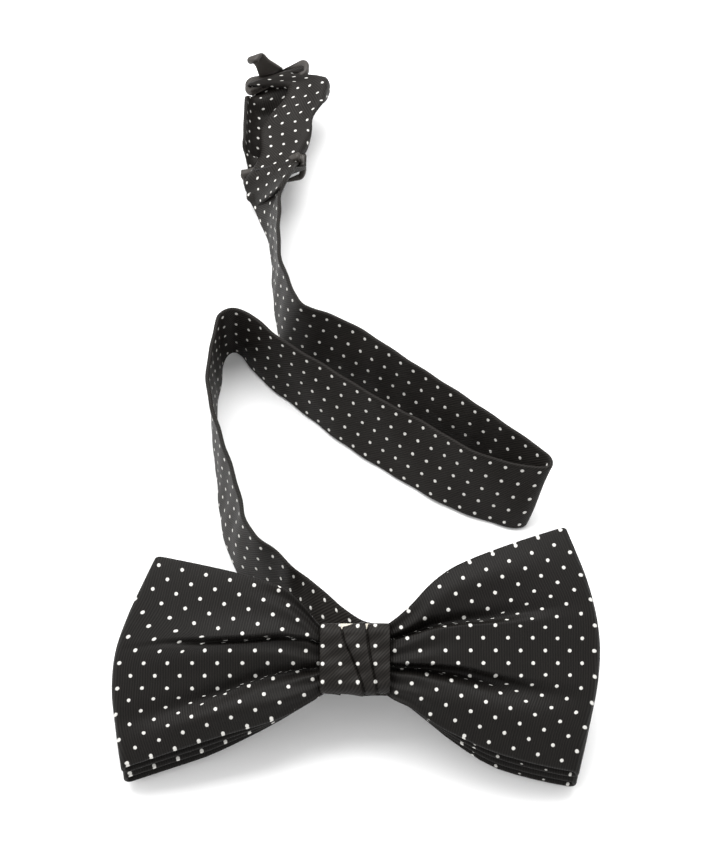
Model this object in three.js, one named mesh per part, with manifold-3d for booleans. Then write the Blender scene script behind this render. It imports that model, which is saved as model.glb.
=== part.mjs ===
// A banded, ready-tied bow tie lying on a table: a pleated double bow with its knot, one long neck strap
// that stands on its lower edge, and the adjuster at the strap's free end, with its slider and hook.
// Millimetres, +Z up, +X along the bow from its left wing to its right one, +Y from the bow to the hook.
import * as THREE from "three";
import { mergeVertices } from "three/addons/utils/BufferGeometryUtils.js";
import Module from "manifold-3d";

const wasm = await Module();
wasm.setup();

// ---- driving dimensions ----
const fit = 0.3; // clearance between pieces that touch
const clothWall = 0.4; // one thickness of the ribbed cloth
const canvasThick = 0.3; // stiffening canvas inside each folded strip
const seamMargin = 1; // canvas edge to cloth fold, measured across a strip

const bowReach = 59; // knot centre to the outer fold of a wing
const backBowReach = 56; // the same on the second bow behind it
const bowTilt = THREE.MathUtils.degToRad(22); // the bow leans back by this much from flat
const middleHalf = 6.5; // half the height of the gathered middle
const rightTop = 31.5; // edges of the wings above and below the knot's centre line
const rightBottom = 27;
const leftTop = 25.5;
const leftBottom = 26;
const backBowDrop = { left: 4, right: 3 }; // how far the second bow hangs below the first
// How far each wing's outer edge curves back from its middle to its corners.
const wingRound = { rightTop: 6.5, rightBottom: 5.5, leftTop: 9, leftBottom: 2.8 };

const knotWidth = 17.2;
const knotOffset = 0.4; // the knot sits a little to the right of the wings' middle
const knotWrapWall = 1.2; // pleated wrap, three layers pressed together
const knotCorner = 2.4;
const threadThick = 0.6; // the gathering thread wound round the middle
const threadWidth = 3;

const strapWidth = 19;
const adjusterRoll = THREE.MathUtils.degToRad(24.4); // the doubled strap's tilt from flat
const adjusterLift = 3.6; // left edge of the doubled strap above the table
const adjusterX = -32.5;
const sliderY = 165; // knot to slider, along the table
const adjusterLength = 34.5; // slider to the hook's bar
const tailLength = 7; // the folded-back end beyond the slider
const adjusterStraight = 7.5; // straight strap before the slider
const bightWidth = 13; // the strap bunches to this width round the hook's bar
const barRadius = 1.2; // the slider's middle bar and the hook's bar
const sliderEndBar = 0.9; // radius of the slider's two outer bars
const sliderHalfLength = 4.6;
const sliderRail = 1.6;
const hookPlate = 2;
const hookArm = 1.8;
const hookReach = 4.6; // bar's axis to the near side of the cross plate
const hookCross = 3;
const hookTongueLeft = 0.4; // bar's left end to the tongue, along the bar
const hookTongueWidth = 4.4;
const hookTongueRise = 10.4;
const hookTongueReturn = 5;

const catchThread = 0.8; // radius of the catch loop's cord
const catchLength = 10;
const catchHeight = 12;
const stitchThick = 0.4;

// ---- derived sizes ----
const slot = canvasThick + 2 * fit;
const stripThick = slot + 2 * clothWall;
const plyPitch = stripThick + fit; // middle of one ply to the middle of the next, pressed together
const knotHalf = knotWidth / 2;
const mostRound = Math.max(...Object.values(wingRound)) / bowReach;
// Share of a wing's reach that stays gathered, inside and just beside the knot.
const gathered = (knotHalf + knotOffset + fit) / ((backBowReach - stripThick / 2) * (1 - mostRound));
const flared = gathered + 0.02;

// ---- small helpers ----
const paint = (color, roughness, metalness = 0) =>
  new THREE.MeshStandardMaterial({ color, roughness, metalness });
const faille = paint(0x2e2b2d, 0.72);
const canvas = paint(0xcfc8b8, 0.9);
const thread = paint(0x1c1b1d, 0.8);
const enamel = paint(0x34353a, 0.35, 0.2);

const group = new THREE.Group();
function add(name, geometry, material, parent = group) {
  const mesh = new THREE.Mesh(geometry, material);
  mesh.name = name;
  parent.add(mesh);
  return mesh;
}

const extruded = (shape, depth, curveSegments) =>
  new THREE.ExtrudeGeometry(shape, { depth, bevelEnabled: false, curveSegments });

// Straight-line value between the points [x, y] of a list sorted by x.
function along(points, x) {
  for (let i = 1; i < points.length; i++) {
    const [x0, y0] = points[i - 1];
    const [x1, y1] = points[i];
    if (x <= x1) return y0 + ((y1 - y0) * Math.max(0, x - x0)) / (x1 - x0);
  }
  return points.at(-1)[1];
}

// A closed body carried through stations. Each station places a section point (v, n): v runs across the
// strip from -1 to 1, and n is the distance from its middle layer. A hole in the section gives a tube.
function carry(stations, outline, hole) {
  const flat = outline.map(([v, n]) => new THREE.Vector2(v, n));
  const inner = hole ? hole.map(([v, n]) => new THREE.Vector2(v, n)) : [];
  const ring = [...outline, ...(hole ?? [])];
  const count = ring.length;
  const positions = stations.flatMap((place) => ring.flatMap(([v, n]) => place(v, n).toArray()));
  const index = [];
  const wall = (from, size, reverse) => {
    for (let s = 0; s + 1 < stations.length; s++) {
      for (let j = 0; j < size; j++) {
        const a = s * count + from + j;
        const b = s * count + from + ((j + 1) % size);
        // Both faces of a twisted strip are split along the same diagonal, so the layers stay parallel.
        const quad = 2 * j < size
          ? [a, b, b + count, a, b + count, a + count]
          : [a, b, a + count, b, b + count, a + count];
        index.push(...(reverse ? quad.reverse() : quad));
      }
    }
  };
  wall(0, outline.length, false);
  if (hole) wall(outline.length, hole.length, true);
  const last = (stations.length - 1) * count;
  for (const face of THREE.ShapeUtils.triangulateShape(flat, inner.length ? [inner] : [])) {
    index.push(face[2], face[1], face[0]);
    index.push(last + face[0], last + face[1], last + face[2]);
  }
  // The faces point out when the volume under them is positive.
  const corner = (i) => new THREE.Vector3().fromArray(positions, 3 * i);
  let volume = 0;
  for (let i = 0; i < index.length; i += 3) {
    volume += corner(index[i]).dot(corner(index[i + 1]).cross(corner(index[i + 2])));
  }
  if (volume < 0) index.reverse();
  const geometry = new THREE.BufferGeometry();
  geometry.setAttribute("position", new THREE.Float32BufferAttribute(positions, 3));
  geometry.setIndex(index);
  return geometry;
}

// Rectangle across a strip: half-width share v, half-thickness n, with extra points along its long sides.
function stripOutline(v, n, steps) {
  const upper = Array.from({ length: steps + 1 }, (_, i) => [-v + (2 * v * i) / steps, -n]);
  return [...upper, ...upper.map(([a, b]) => [-a, -b])];
}

// The cloth of a strip, folded into a flat tube with open ends, and the canvas that lies inside it.
function clothStrip(stations, width, steps) {
  const margin = 1 - (2 * clothWall) / width;
  return carry(stations, stripOutline(1, stripThick / 2, steps), stripOutline(margin, slot / 2, steps));
}
function canvasStrip(stations, width, steps) {
  return carry(stations, stripOutline(1 - (2 * seamMargin) / width, canvasThick / 2, steps));
}

// ---- the bow's own frame: X along the wings, Y up the leaning face, Z out of the face ----
const bow = new THREE.Group();
bow.rotation.x = bowTilt;
group.add(bow);

// One bow is a strip wound into a flat loop. Its path is drawn in (x, z) for a wing of full reach, and the
// place of a point across the strip follows the wing's outline.
function bowStations(reach, drop, frontLayer, backLayer) {
  const end = reach - stripThick / 2;
  const foldRadius = (along(frontLayer, 1) - along(backLayer, 1)) / 2;
  const foldMiddle = (along(frontLayer, 1) + along(backLayer, 1)) / 2;
  const plySteps = [0.012, gathered, flared + 0.01, 0.3, 0.42, 0.56, 0.72, 0.88, 1];
  const straight = end - foldRadius;
  const path = [];
  for (const s of plySteps) path.push([straight * s, along(backLayer, s)]);
  for (const degrees of [-54, 0, 54]) {
    const turn = THREE.MathUtils.degToRad(degrees);
    path.push([straight + foldRadius * Math.cos(turn), foldMiddle + foldRadius * Math.sin(turn)]);
  }
  const frontSteps = [...plySteps].reverse();
  frontSteps[frontSteps.length - 1] = 0;
  for (const s of frontSteps) path.push([straight * s, along(frontLayer, s)]);
  const rightHalf = path.slice(0, -1);
  const mirrored = rightHalf.map(([x, z]) => [-x, z]).reverse();
  const whole = [...rightHalf, path.at(-1), ...mirrored];

  const pinched = [[0, middleHalf], [gathered, middleHalf]];
  const rightTopEdge = [...pinched, [flared, 10], [0.3, 17.5], [0.5, 23.3], [1, rightTop]];
  const rightLowEdge = [...pinched, [flared, 9.5], [0.3, 14.5], [0.5, 20], [1, rightBottom]];
  const leftTopEdge = [...pinched, [flared, 9.5], [0.3, 16], [0.5, 21], [1, leftTop]];
  const leftLowEdge = [...pinched, [flared, 9.5], [0.3, 14.2], [0.5, 18], [1, leftBottom]];

  return whole.map(([x, z], i) => {
    const before = whole[Math.max(0, i - 1)];
    const after = whole[Math.min(whole.length - 1, i + 1)];
    const length = Math.hypot(after[0] - before[0], after[1] - before[1]);
    const across = [(after[1] - before[1]) / length, -(after[0] - before[0]) / length];
    return (v, n) => {
      const px = x + across[0] * n;
      const pz = z + across[1] * n;
      const share = Math.abs(px) / end;
      const right = px > 0;
      const top = along(right ? rightTopEdge : leftTopEdge, share);
      const low = along(right ? rightLowEdge : leftLowEdge, share);
      const roundTop = right ? wingRound.rightTop : wingRound.leftTop;
      const roundLow = right ? wingRound.rightBottom : wingRound.leftBottom;
      const shorten = 1 - ((v > 0 ? roundTop : roundLow) * v * v) / bowReach;
      const sag = (right ? drop.right : drop.left) * THREE.MathUtils.smoothstep(share, 0.15, 0.6);
      return new THREE.Vector3(px * shorten, -low + ((v + 1) / 2) * (top + low) - sag, pz);
    };
  });
}

const bowSteps = 4; // facets across a wing
const wingHeight = rightTop + rightBottom;
const outerPly = 1.5 * plyPitch;
const innerPly = 0.5 * plyPitch;
const wingInner = innerPly + 0.1;
const backOuter = outerPly + 0.9; // the second bow's back layer, which lies nearly flat
const frontBow = bowStations(bowReach, { left: 0, right: 0 },
  [[0, outerPly], [gathered, outerPly], [0.3, outerPly + 2.2], [0.6, outerPly + 3], [1, outerPly + 1.2]],
  [[0, innerPly], [gathered, innerPly], [0.4, wingInner], [1, wingInner]]);
const backBow = bowStations(backBowReach, backBowDrop,
  [[0, -innerPly], [gathered, -innerPly], [0.4, -wingInner], [1, -wingInner]],
  [[0, -outerPly], [gathered, -outerPly], [0.4, -backOuter], [1, -backOuter]]);
add("front_bow_cloth", clothStrip(frontBow, wingHeight, bowSteps), faille, bow);
add("front_bow_canvas", canvasStrip(frontBow, wingHeight, bowSteps), canvas, bow);
add("back_bow_cloth", clothStrip(backBow, wingHeight, bowSteps), faille, bow);
add("back_bow_canvas", canvasStrip(backBow, wingHeight, bowSteps), canvas, bow);

// ---- knot: rings round the gathered middle, each a rounded oblong in the bow's Y-Z plane ----
function oblong(halfHeight, halfDepth, corner) {
  const shape = new THREE.Shape();
  shape.moveTo(-halfDepth + corner, -halfHeight);
  shape.lineTo(halfDepth - corner, -halfHeight);
  shape.absarc(halfDepth - corner, -halfHeight + corner, corner, -Math.PI / 2, 0);
  shape.lineTo(halfDepth, halfHeight - corner);
  shape.absarc(halfDepth - corner, halfHeight - corner, corner, 0, Math.PI / 2);
  shape.lineTo(-halfDepth + corner, halfHeight);
  shape.absarc(-halfDepth + corner, halfHeight - corner, corner, Math.PI / 2, Math.PI);
  shape.lineTo(-halfDepth, -halfHeight + corner);
  shape.absarc(-halfDepth + corner, -halfHeight + corner, corner, Math.PI, 1.5 * Math.PI);
  return shape;
}
function ringRoundMiddle(name, halfHeight, halfDepth, wall, width, corner, material) {
  const shape = oblong(halfHeight + wall, halfDepth + wall, corner);
  shape.holes.push(oblong(halfHeight, halfDepth, Math.max(corner - wall, 0.4)));
  const geometry = extruded(shape, width, 4);
  geometry.translate(0, 0, -width / 2);
  geometry.rotateY(-Math.PI / 2);
  geometry.rotateZ(Math.PI);
  const mesh = add(name, geometry, material, bow);
  mesh.position.x = knotOffset;
}
const threadHalf = middleHalf + fit;
const threadDepth = outerPly + stripThick / 2 + fit;
const liningHalf = threadHalf + threadThick + fit;
const liningDepth = threadDepth + threadThick + fit;
const wrapHalf = liningHalf + clothWall + fit;
const wrapDepth = liningDepth + clothWall + fit;
ringRoundMiddle("gathering_thread", threadHalf, threadDepth, threadThick, threadWidth, 1, thread);
ringRoundMiddle("knot_lining", liningHalf, liningDepth, clothWall, knotWidth - 2 * seamMargin, 1.6, canvas);
ringRoundMiddle("knot_wrap", wrapHalf, wrapDepth, knotWrapWall, knotWidth, knotCorner, faille);
const knotBack = wrapDepth + knotWrapWall;

// The bow rests on the lower corners of its second loop.
const lowestCorner = leftBottom + backBowDrop.left;
const bowRise = lowestCorner * Math.sin(bowTilt) + (backOuter + stripThick / 2) * Math.cos(bowTilt);
bow.position.z = bowRise;

// ---- neck strap: lower edge on the table, and how far the upper edge leans sideways from it ----
// Each place is x, y, z of the lower edge, then the lean along x and y as shares of the strap's width.
// The first three places lie flat against the back of the knot. The route's y is drawn for a slider
// at routeReach and stretches with sliderY.
const routeReach = 165;
const routeScale = sliderY / routeReach;
const strapBack = knotBack + 1.5 * fit + stripThick / 2;
const bowUp = new THREE.Vector3(0, Math.cos(bowTilt), Math.sin(bowTilt));
const bowOut = new THREE.Vector3(0, -Math.sin(bowTilt), Math.cos(bowTilt));
const strapStart = new THREE.Vector3(0, 0, bowRise)
  .addScaledVector(bowUp, -strapWidth / 2)
  .addScaledVector(bowOut, -strapBack);
const flat = [0, bowUp.y];
const startY = strapStart.y / routeScale;
const route = [
  [knotHalf + knotOffset, startY, strapStart.z, ...flat],
  [0, startY, strapStart.z, ...flat],
  [-knotHalf, startY, strapStart.z, ...flat],
  [-knotHalf - 3.4, 0.5, 3, 0.063, 0.789],
  [-15.8, 9, 1, 0.137, 0.589],
  [-20, 16.6, 0, 0.189, 0.421],
  [-24.6, 23, 0, 0.205, 0.305],
  [-29.2, 28.8, 0, 0.2, 0.168],
  [-32.6, 35, 0, 0.226, 0.084],
  [-34.7, 42.5, 0, 0.263, 0.042],
  [-36, 50, 0, 0.237, 0.032],
  [-37.4, 58.5, 0, 0.147, 0.021],
  [-38.4, 67, 0, 0.053, 0.011],
  [-39, 76, 0, -0.011, 0],
  [-39.2, 85.5, 0, -0.032, 0],
  [-38.6, 93.5, 0, -0.026, 0],
  [-38.3, 97.6, 0, -0.021, 0.005],
  [-37.3, 100.8, 0, -0.011, 0.021],
  [-35, 102.2, 0, 0.032, 0.047],
  [-32.4, 100.6, 0, 0.084, 0.084],
  [-29.6, 97, 0, 0.126, 0.126],
  [-25.2, 91.8, 0, 0.163, 0.158],
  [-19, 85.9, 0, 0.189, 0.2],
  [-13, 80.2, 0, 0.226, 0.247],
  [-6.9, 74.8, 0, 0.247, 0.289],
  [-0.6, 69.7, 0, 0.268, 0.332],
  [5.6, 64.8, 0, 0.279, 0.368],
  [11.8, 60.3, 0, 0.284, 0.4],
  [18.2, 56.1, 0, 0.258, 0.405],
  [24.5, 52.2, 0, 0.226, 0.4],
  [31.1, 48.8, 0, 0.2, 0.4],
  [38, 46.1, 0, 0.2, 0.421],
  [43, 44.8, 0, 0.253, 0.442],
  [46, 45.4, 0, 0.284, 0.442],
  [46.3, 48.2, 0, 0.284, 0.421],
  [43.6, 52, 0, 0.274, 0.368],
  [39.2, 56.4, 0, 0.274, 0.326],
  [33.2, 61.9, 0, 0.279, 0.316],
  [26.2, 67.6, 0, 0.279, 0.316],
  [18.7, 73.4, 0, 0.279, 0.316],
  [12.7, 78.4, 0, 0.279, 0.316],
  [6.7, 83.3, 0, 0.279, 0.316],
  [1, 87.8, 0, 0.274, 0.316],
  [-5.3, 92.6, 0, 0.263, 0.311],
  [-11.5, 96.8, 0, 0.258, 0.279],
  [-16.6, 100.4, 0, 0.284, 0.189],
  [-20.4, 104.2, 0, 0.279, 0.089],
  [-22.2, 109, 0, 0.258, 0.026],
  [-22.9, 114, 0, 0.2, 0.011],
  [-23.4, 119.7, 0, 0.126, 0],
  [-23.8, 126, 0, 0.116, 0],
  [-24.6, 132, 0, 0.211, 0],
  [-26, 139, 0, 0.342, 0],
  [-28, 146, 0.8, 0.553, 0],
  [-30.3, 151.5, 2.3, 0.79, 0],
  [-32.1, 156, 3.4, 0.9, 0],
];

// The rest of the route is the doubled end: straight along +Y, once round the hook's bar, and back.
const hookBarY = sliderY + adjusterLength;
const tailY = sliderY - tailLength;
const lean = new THREE.Vector3(Math.cos(adjusterRoll), 0, Math.sin(adjusterRoll));
const outOfStrap = new THREE.Vector3(-lean.z, 0, lean.x);
const turnRadius = barRadius + fit + stripThick / 2;
const tailGap = stripThick + fit;
function adjusterPoint(y, height, width) {
  const origin = new THREE.Vector3(adjusterX, y, adjusterLift).addScaledVector(outOfStrap, height);
  return {
    p: origin.addScaledVector(lean, strapWidth - width),
    w: lean.clone().multiplyScalar(width),
  };
}
// Width of the strap at a share of the way from the slider to the hook's bar: it bunches towards the bar.
const bunch = (share) =>
  THREE.MathUtils.lerp(strapWidth, bightWidth, THREE.MathUtils.smoothstep(share, 0.3, 0.85));
const shares = [0, 0.17, 0.35, 0.52, 0.67, 0.82, 1];
const adjuster = [adjusterPoint(sliderY - adjusterStraight, 0, strapWidth)];
for (const share of shares) adjuster.push(adjusterPoint(sliderY + adjusterLength * share, 0, bunch(share)));
for (const degrees of [-45, 0, 45]) {
  const turn = THREE.MathUtils.degToRad(degrees);
  const y = hookBarY + turnRadius * Math.cos(turn);
  adjuster.push(adjusterPoint(y, turnRadius * (1 + Math.sin(turn)), bightWidth));
}
for (const share of shares.toReversed()) {
  adjuster.push(adjusterPoint(sliderY + adjusterLength * share, 2 * turnRadius, bunch(share)));
}
adjuster.push(adjusterPoint(sliderY - sliderHalfLength, 2 * turnRadius, strapWidth));
adjuster.push(adjusterPoint((sliderY - sliderHalfLength + tailY) / 2, turnRadius + tailGap / 2, strapWidth));
adjuster.push(adjusterPoint(tailY, tailGap, strapWidth));

const lowerEdge = new THREE.CatmullRomCurve3(
  route.map(([x, y, z]) => new THREE.Vector3(x, y * routeScale, z)),
);
const leanPath = new THREE.CatmullRomCurve3(route.map((r) => new THREE.Vector3(r[3], r[4], 0)));
lowerEdge.curveType = "catmullrom";
leanPath.curveType = "catmullrom";
function strapFrame(at) {
  const sideways = leanPath.getPoint(at).multiplyScalar(strapWidth);
  const rise = Math.sqrt(strapWidth ** 2 - sideways.lengthSq());
  return { p: lowerEdge.getPoint(at), w: new THREE.Vector3(sideways.x, sideways.y, rise) };
}
// One station at each place on the route, and more between two places where the strap turns or twists.
const turnPerStation = THREE.MathUtils.degToRad(8);
const strapFrames = [];
for (let i = 0; i + 1 < route.length; i++) {
  const from = i / (route.length - 1);
  const to = (i + 1) / (route.length - 1);
  const turn = lowerEdge.getTangent(from).angleTo(lowerEdge.getTangent(to));
  const twist = strapFrame(from).w.angleTo(strapFrame(to).w);
  const steps = Math.max(1, Math.round((turn + twist) / turnPerStation));
  for (let k = 0; k < steps; k++) strapFrames.push(strapFrame(from + ((to - from) * k) / steps));
}
strapFrames.push(strapFrame(1), ...adjuster);
const strapStations = strapFrames.map(({ p, w }, i) => {
  const middle = (f) => f.p.clone().addScaledVector(f.w, 0.5);
  const before = middle(strapFrames[Math.max(0, i - 1)]);
  const heading = middle(strapFrames[Math.min(strapFrames.length - 1, i + 1)]).sub(before);
  const out = heading.cross(w).normalize();
  return (v, n) => p.clone().addScaledVector(w, (v + 1) / 2).addScaledVector(out, n);
});
add("neckband_cloth", clothStrip(strapStations, strapWidth, 1), faille);
add("neckband_canvas", canvasStrip(strapStations, strapWidth, 1), canvas);

// ---- solids joined by boolean union ----
function solid(geometry) {
  const bare = geometry.index ? geometry.toNonIndexed() : geometry.clone();
  bare.deleteAttribute("normal");
  bare.deleteAttribute("uv");
  const merged = mergeVertices(bare, 1e-4);
  const vertProperties = new Float32Array(merged.attributes.position.array);
  const triVerts = new Uint32Array(merged.index.array);
  return new wasm.Manifold(new wasm.Mesh({ numProp: 3, vertProperties, triVerts }));
}
function geometryOf(manifold) {
  const { vertProperties, triVerts } = manifold.getMesh();
  const geometry = new THREE.BufferGeometry();
  geometry.setAttribute("position", new THREE.Float32BufferAttribute(vertProperties, 3));
  geometry.setIndex(new THREE.Uint32BufferAttribute(triVerts, 1));
  return geometry;
}
const joined = (pieces) => geometryOf(pieces.map(solid).reduce((a, b) => a.add(b)));

// Local frame of the adjuster's hardware: X across the strap, Y along it, Z out of its upper face.
function adjusterFrame(y, height) {
  const frame = new THREE.Group();
  const basis = new THREE.Matrix4().makeBasis(lean, new THREE.Vector3(0, 1, 0), outOfStrap.clone());
  frame.setRotationFromMatrix(basis);
  frame.position.set(adjusterX, y, adjusterLift).addScaledVector(outOfStrap, height);
  group.add(frame);
  return frame;
}
function barAcross(radius, from, to, y, z, sides = 12) {
  const bar = new THREE.CylinderGeometry(radius, radius, to - from, sides);
  bar.rotateZ(Math.PI / 2);
  bar.translate((from + to) / 2, y, z);
  return bar;
}
function plate(x0, x1, y0, y1, z0, z1) {
  const box = new THREE.BoxGeometry(x1 - x0, y1 - y0, z1 - z0);
  box.translate((x0 + x1) / 2, (y0 + y1) / 2, (z0 + z1) / 2);
  return box;
}

// ---- slider: three bars between two arched rails; the doubled strap runs either side of the middle bar ----
const sliderFrame = adjusterFrame(sliderY, 0);
const endBarDrop = stripThick / 2 + fit + sliderEndBar;
const endBarY = sliderHalfLength - sliderEndBar;
const railFoot = -endBarDrop - sliderEndBar;
const railHead = turnRadius + barRadius;
const railShape = new THREE.Shape();
railShape.moveTo(-sliderHalfLength, railFoot);
railShape.lineTo(-endBarY + sliderEndBar, railFoot);
railShape.quadraticCurveTo(0, railFoot + sliderHalfLength, endBarY - sliderEndBar, railFoot);
railShape.lineTo(sliderHalfLength, railFoot);
railShape.lineTo(sliderHalfLength, -endBarDrop + sliderEndBar);
railShape.quadraticCurveTo(endBarY, railHead, barRadius, railHead);
railShape.lineTo(-barRadius, railHead);
railShape.quadraticCurveTo(-endBarY, railHead, -sliderHalfLength, -endBarDrop + sliderEndBar);
const railAt = (x) => {
  const rail = extruded(railShape, sliderRail, 5);
  rail.rotateY(Math.PI / 2);
  rail.rotateX(Math.PI / 2);
  rail.translate(x, 0, 0);
  return rail;
};
const railLeft = -fit - sliderRail;
const railRight = strapWidth + fit;
const barEnds = [railLeft + sliderRail / 2, railRight + sliderRail / 2];
add("slider", joined([
  railAt(railLeft),
  railAt(railRight),
  barAcross(barRadius, ...barEnds, 0, turnRadius),
  barAcross(sliderEndBar, ...barEnds, -endBarY, -endBarDrop),
  barAcross(sliderEndBar, ...barEnds, endBarY, -endBarDrop),
]), enamel, sliderFrame);

// ---- hook: a bar in the strap's bight, two arms round the cloth, a cross plate and a curled tongue ----
const hookFrame = adjusterFrame(hookBarY, turnRadius);
const armInner = strapWidth + fit;
const armOuter = armInner + hookArm;
const plateNear = hookReach;
const plateFar = hookReach + hookCross;
const tongueRight = hookTongueLeft + hookTongueWidth;
add("hook", joined([
  barAcross(barRadius, -fit - hookArm / 2, armInner + hookArm / 2, 0, 0),
  plate(-fit - hookArm, -fit, -barRadius, plateFar, -hookPlate / 2, hookPlate / 2),
  plate(armInner, armOuter, -barRadius, plateFar, -hookPlate / 2, hookPlate / 2),
  plate(-fit - hookArm, armOuter, plateNear, plateFar, -hookPlate / 2, hookPlate / 2),
  plate(hookTongueLeft, tongueRight, plateFar - hookPlate, plateFar, 0, hookTongueRise),
  plate(hookTongueLeft, tongueRight, plateFar - hookTongueReturn - hookPlate, plateFar,
    hookTongueRise - hookPlate, hookTongueRise),
]), enamel, hookFrame);

// ---- catch loop: a cord eye on the strap's fixed end behind the knot, which the hook catches ----
const eye = new THREE.Shape();
const eyeOuter = catchHeight / 2;
const eyeInner = eyeOuter - 2 * catchThread;
eye.moveTo(0, -eyeOuter);
eye.lineTo(catchLength - eyeOuter, -eyeOuter);
eye.absarc(catchLength - eyeOuter, 0, eyeOuter, -Math.PI / 2, Math.PI / 2);
eye.lineTo(0, eyeOuter);
const eyeHole = new THREE.Path();
eyeHole.moveTo(2 * catchThread, -eyeInner);
eyeHole.lineTo(2 * catchThread, eyeInner);
eyeHole.lineTo(catchLength - eyeOuter, eyeInner);
eyeHole.absarc(catchLength - eyeOuter, 0, eyeInner, Math.PI / 2, -Math.PI / 2, true);
eye.holes.push(eyeHole);
const catchGeometry = extruded(eye, 2 * catchThread, 6);
catchGeometry.translate(knotHalf + knotOffset + fit, 0, -strapBack - catchThread);
add("catch_loop", catchGeometry, thread, bow);

// ---- bar tacks: over the strap's upper edge behind the knot, and on the folded-back tail ----
const bandTack = plate(-knotHalf / 4, knotHalf / 4, 0, stitchThick, -stripThick / 2, stripThick / 2);
bandTack.translate(knotOffset + knotHalf / 2, strapWidth / 2 + fit, -strapBack);
add("band_end_tack", bandTack, thread, bow);
const tackFrame = adjusterFrame(sliderY, 2 * turnRadius + stripThick / 2 + fit);
const tailTack = plate(strapWidth / 5, (4 * strapWidth) / 5, -stitchThick, stitchThick, 0, stitchThick);
add("tail_tack", tailTack, thread, tackFrame);

// The part stands on the table with its origin under the middle of its box.
group.updateMatrixWorld(true);
const box = new THREE.Box3().setFromObject(group, true);
const centre = box.getCenter(new THREE.Vector3());
group.position.set(-centre.x, -centre.y, -box.min.z);

export default group;
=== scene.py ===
"""A ready-tied bow tie in black ribbed faille with white pin dots, lying on a pale table.

Lengths are worked out in millimetres in the bow's own frame or on the table, then set down in metres.
"""
import math

import bpy
import numpy as np
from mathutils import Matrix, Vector


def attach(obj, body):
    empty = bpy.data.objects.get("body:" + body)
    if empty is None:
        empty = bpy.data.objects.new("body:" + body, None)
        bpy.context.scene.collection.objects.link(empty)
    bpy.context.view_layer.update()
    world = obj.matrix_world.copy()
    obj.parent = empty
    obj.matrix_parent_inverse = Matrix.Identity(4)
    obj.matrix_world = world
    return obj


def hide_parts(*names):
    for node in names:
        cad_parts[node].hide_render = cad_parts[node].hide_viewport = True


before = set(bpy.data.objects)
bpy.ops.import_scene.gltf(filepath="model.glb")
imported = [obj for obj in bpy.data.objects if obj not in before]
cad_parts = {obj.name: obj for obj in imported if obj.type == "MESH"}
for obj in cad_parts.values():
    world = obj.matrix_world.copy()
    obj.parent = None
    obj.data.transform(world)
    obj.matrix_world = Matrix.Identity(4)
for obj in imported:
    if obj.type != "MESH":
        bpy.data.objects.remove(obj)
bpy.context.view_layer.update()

# ---------------------------------------------------------------- sizes, in millimetres
KNOT_Y = -89.786          # the knot's middle on the table
TABLE = 0.417             # the table the route was drawn on, above the lowest point of the strap
BOW_RISE = 16.059         # the bow's middle, above the table
BOW_TILT = math.radians(22)
WING_ROOT = 7.0           # half the length of the gathered middle
REACH = 59.5              # from the bow's middle to a wing's outer fold
PLY = 1.0                 # a folded strip of cloth, pressed
CANVAS_PLY = 0.2          # the stiffening inside a folded strip
KNOT_LEFT, KNOT_RIGHT = -8.3, 8.7
STRAP = 19.0              # the strap's width
STRAP_THICK = 1.15
LEAN = np.array([0.9107, 0.0, 0.4131])      # across the doubled end, which is rolled 24.4 degrees
ABOVE = np.array([-0.4131, 0.0, 0.9107])    # out of its face
EDGE_X, LIFT = -32.5, 3.6                   # the left edge of its under layer
SLIDER_Y, BAR_Y = 165.0, 199.5
SLIDER_LEFT, SLIDER_RIGHT, SLIDER_HALF = -1.1, 18.4, 3.75
TURN_RADIUS = 2.35        # the strap's turn round the hook's bar
DOT_REPEAT = 6.0          # white pin dots: one at each corner of this square and one in its middle
DOT_RADIUS = 0.44
RIB_PITCH = 0.62


# ---------------------------------------------------------------- small shape helpers
def through(points, x):
    """Smooth curve through the points (x, y): a cubic between each two, with slopes of its neighbours."""
    xs, ys = np.array(points, float).T
    slope = np.gradient(ys, xs)
    x = np.clip(x, xs[0], xs[-1])
    i = np.clip(np.searchsorted(xs, x) - 1, 0, len(xs) - 2)
    h = xs[i + 1] - xs[i]
    u = (x - xs[i]) / h
    return ((2 * u**3 - 3 * u**2 + 1) * ys[i] + (u**3 - 2 * u**2 + u) * h * slope[i]
            + (3 * u**2 - 2 * u**3) * ys[i + 1] + (u**3 - u**2) * h * slope[i + 1])


def ease(x, low, high):
    """0 below low, 1 above high, and a smooth S between them."""
    u = np.clip((x - low) / (high - low), 0, 1)
    return u * u * (3 - 2 * u)


def hump(x, middle, width):
    """Bell curve of height 1."""
    return np.exp(-(((x - middle) / width) ** 2))


def unit(v):
    """Each vector divided by its own length."""
    return v / np.maximum(np.linalg.norm(v, axis=-1, keepdims=True), 1e-9)


def from_bow(x, v, n):
    """Bow frame to the table's frame: X along the wings, V up the leaning face, N out of it."""
    c, s = math.cos(BOW_TILT), math.sin(BOW_TILT)
    return np.stack(np.broadcast_arrays(x, KNOT_Y + c * v - s * n, BOW_RISE + s * v + c * n), axis=-1)


def on_table(points):
    """Points measured from the knot's middle on the table."""
    return np.asarray(points, float) + np.array([0, KNOT_Y, TABLE])


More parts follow.
